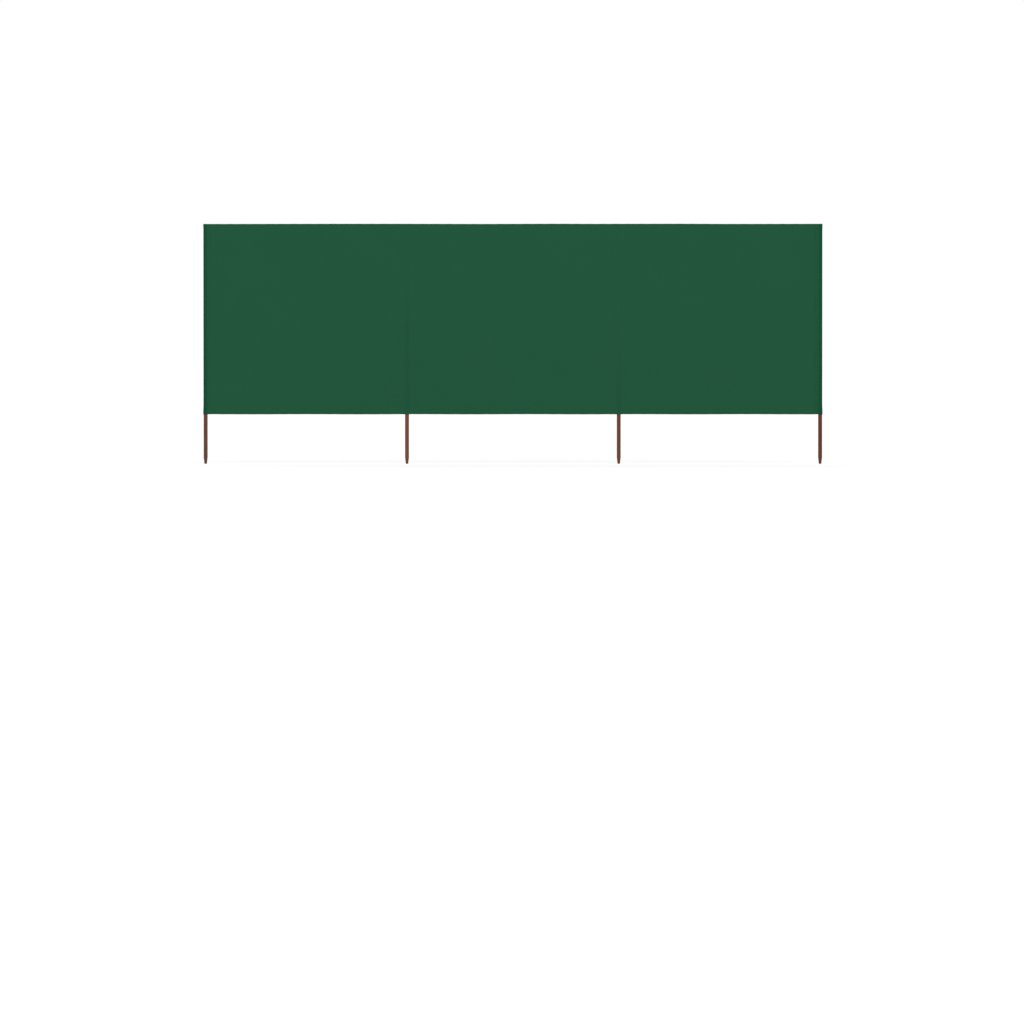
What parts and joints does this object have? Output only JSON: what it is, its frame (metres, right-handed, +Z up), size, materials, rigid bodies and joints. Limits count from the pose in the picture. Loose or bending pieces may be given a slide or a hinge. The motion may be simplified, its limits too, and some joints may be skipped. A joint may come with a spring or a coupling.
{
  "type": "beach windbreak",
  "caption": "Freestanding cloth windbreak on square wooden posts with pointed tips, in bays that fold to screen a spot from the wind.",
  "frame": {"origin": "centre of the blunt tip of post 2, the left one of the two middle posts seen from the front", "axes": "+X along the windbreak, +Z up along the posts, the front faces -Y"},
  "size_m": [4, 0.0415, 1.55],
  "materials": {
    "wood": "brown stained softwood, matt",
    "cloth": "plain dark green woven polyester, matt"
  },
  "bodies": {
    "middle_bay": {"post_2": "wood", "post_3": "wood", "pocket_back_2": "cloth", "pocket_left_web_2": "cloth", "pocket_right_web_2": "cloth", "pocket_cap_2": "cloth", "pocket_back_3": "cloth", "pocket_left_web_3": "cloth", "pocket_right_web_3": "cloth", "pocket_cap_3": "cloth", "middle_panel": "cloth", "middle_top_hem": "cloth", "middle_bottom_hem": "cloth"},
    "left_bay": {"post_1": "wood", "end_sleeve_fold_1": "cloth", "end_sleeve_front_1": "cloth", "end_sleeve_back_1": "cloth", "end_sleeve_front_web_1": "cloth", "end_sleeve_back_web_1": "cloth", "end_sleeve_cap_1": "cloth", "left_panel": "cloth", "left_top_hem": "cloth", "left_bottom_hem": "cloth"},
    "right_bay": {"post_4": "wood", "end_sleeve_fold_4": "cloth", "end_sleeve_front_4": "cloth", "end_sleeve_back_4": "cloth", "end_sleeve_front_web_4": "cloth", "end_sleeve_back_web_4": "cloth", "end_sleeve_cap_4": "cloth", "right_panel": "cloth", "right_top_hem": "cloth", "right_bottom_hem": "cloth"}
  },
  "joints": [
    {"name": "left_fold", "type": "hinge", "parent": "middle_bay", "child": "left_bay", "pos_m": [-0.038, -0.0135, 0.935], "axis": [0, 0, 1], "range_deg": [-120, 120]},
    {"name": "right_fold", "type": "hinge", "parent": "middle_bay", "child": "right_bay", "pos_m": [1.407, -0.0135, 0.935], "axis": [0, 0, -1], "range_deg": [-120, 120]}
  ]
}
